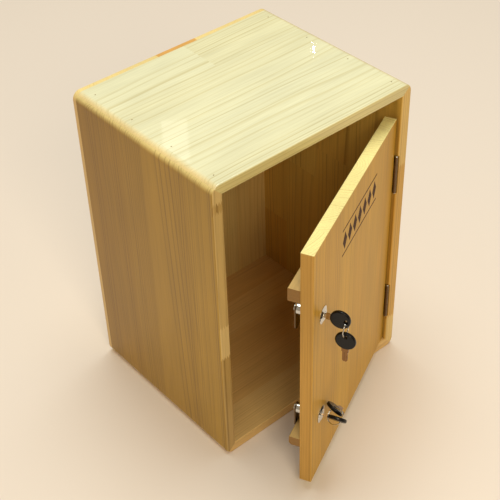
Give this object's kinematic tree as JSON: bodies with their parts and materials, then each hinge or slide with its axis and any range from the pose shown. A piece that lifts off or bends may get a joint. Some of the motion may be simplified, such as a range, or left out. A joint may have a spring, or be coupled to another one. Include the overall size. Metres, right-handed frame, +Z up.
{
  "type": "wooden tender box",
  "caption": "Free-standing pine box with a posting gap above a hinged door, secured by a pair of cam locks that each hold a key and its spare on a ring.",
  "frame": {"origin": "on the resting face, under the middle of the carcass's width and depth", "axes": "+Z is up, the door faces -Y and its hinges are on the +X side"},
  "size_m": [0.357, 0.4608, 0.5],
  "materials": {
    "pine": "clear gloss lacquer on finger-jointed pine",
    "brad_steel": "plain brads, set just under the surface",
    "bronzed_steel": "bronzed, satin",
    "zinc_steel": "zinc plated",
    "chrome": "bright plated",
    "key_metal": "nickel plated",
    "black_plastic": "moulded, satin"
  },
  "bodies": {
    "carcass": {"top_panel": "pine", "bottom_panel": "pine", "left_panel": "pine", "right_panel": "pine", "back_panel": "pine", "top_corner_brads": "brad_steel", "bottom_corner_brads": "brad_steel", "back_brads": "brad_steel", "upper_hinge_frame_leaf": "bronzed_steel", "upper_hinge_pin": "bronzed_steel", "lower_hinge_frame_leaf": "bronzed_steel", "lower_hinge_pin": "bronzed_steel", "hinge_frame_screws": "bronzed_steel", "upper_keeper": "pine", "lower_keeper": "pine", "keeper_screws": "zinc_steel"},
    "door": {"door_panel": "pine", "upper_hinge_door_leaf": "bronzed_steel", "lower_hinge_door_leaf": "bronzed_steel", "hinge_door_screws": "bronzed_steel", "upper_batten": "pine", "lower_batten": "pine", "batten_screws": "zinc_steel", "upper_lock_body": "chrome", "upper_lock_nut": "chrome", "lower_lock_body": "chrome", "lower_lock_nut": "chrome"},
    "upper_core": {"upper_lock_plug": "chrome", "upper_lock_cam": "zinc_steel", "upper_cam_screw": "zinc_steel"},
    "upper_key": {"upper_key_blade": "key_metal", "upper_key_bow": "black_plastic"},
    "upper_ring": {"upper_key_ring": "chrome"},
    "upper_spare": {"upper_spare_key_blade": "key_metal", "upper_spare_key_bow": "black_plastic"},
    "lower_core": {"lower_lock_plug": "chrome", "lower_lock_cam": "zinc_steel", "lower_cam_screw": "zinc_steel"},
    "lower_key": {"lower_key_blade": "key_metal", "lower_key_bow": "black_plastic"},
    "lower_ring": {"lower_key_ring": "chrome"},
    "lower_spare": {"lower_spare_key_blade": "key_metal", "lower_spare_key_bow": "black_plastic"}
  },
  "joints": [
    {"name": "door_swing", "type": "hinge", "parent": "carcass", "child": "door", "pos_m": [0.16075, -0.148, 0.1025], "axis": [0, 0, 1], "range_deg": [-25.3, 124.7]},
    {"name": "upper_lock_turn", "type": "hinge", "parent": "door", "child": "upper_core", "pos_m": [-0.09842, -0.26719, 0.3195], "axis": [-0.4274, 0.9041, 0], "range_deg": [0, 90]},
    {"name": "upper_key_draw", "type": "slide", "parent": "upper_core", "child": "upper_key", "axis": [0.4274, -0.9041, 0], "range_m": [0, 0.028]},
    {"name": "upper_ring_swing", "type": "hinge", "parent": "upper_key", "child": "upper_ring", "pos_m": [-0.0847, -0.29621, 0.31754], "axis": [-0.9041, -0.4274, 0], "range_deg": [-10, 60]},
    {"name": "upper_spare_swing", "type": "hinge", "parent": "upper_ring", "child": "upper_spare", "pos_m": [-0.0847, -0.29621, 0.29454], "axis": [-0.9041, -0.4274, 0], "range_deg": [-15, 45]},
    {"name": "lower_lock_turn", "type": "hinge", "parent": "door", "child": "lower_core", "pos_m": [-0.09842, -0.26719, 0.1285], "axis": [-0.4274, 0.9041, 0], "range_deg": [0, 90]},
    {"name": "lower_key_draw", "type": "slide", "parent": "lower_core", "child": "lower_key", "axis": [0.4274, -0.9041, 0], "range_m": [0, 0.028]},
    {"name": "lower_ring_swing", "type": "hinge", "parent": "lower_key", "child": "lower_ring", "pos_m": [-0.08504, -0.29509, 0.12827], "axis": [-0.7505, -0.1263, -0.6487], "range_deg": [0, 150]},
    {"name": "lower_spare_swing", "type": "hinge", "parent": "lower_ring", "child": "lower_spare", "pos_m": [-0.08067, -0.27491, 0.13237], "axis": [0.7433, -0.1255, 0.6571], "range_deg": [-12, 8]}
  ]
}
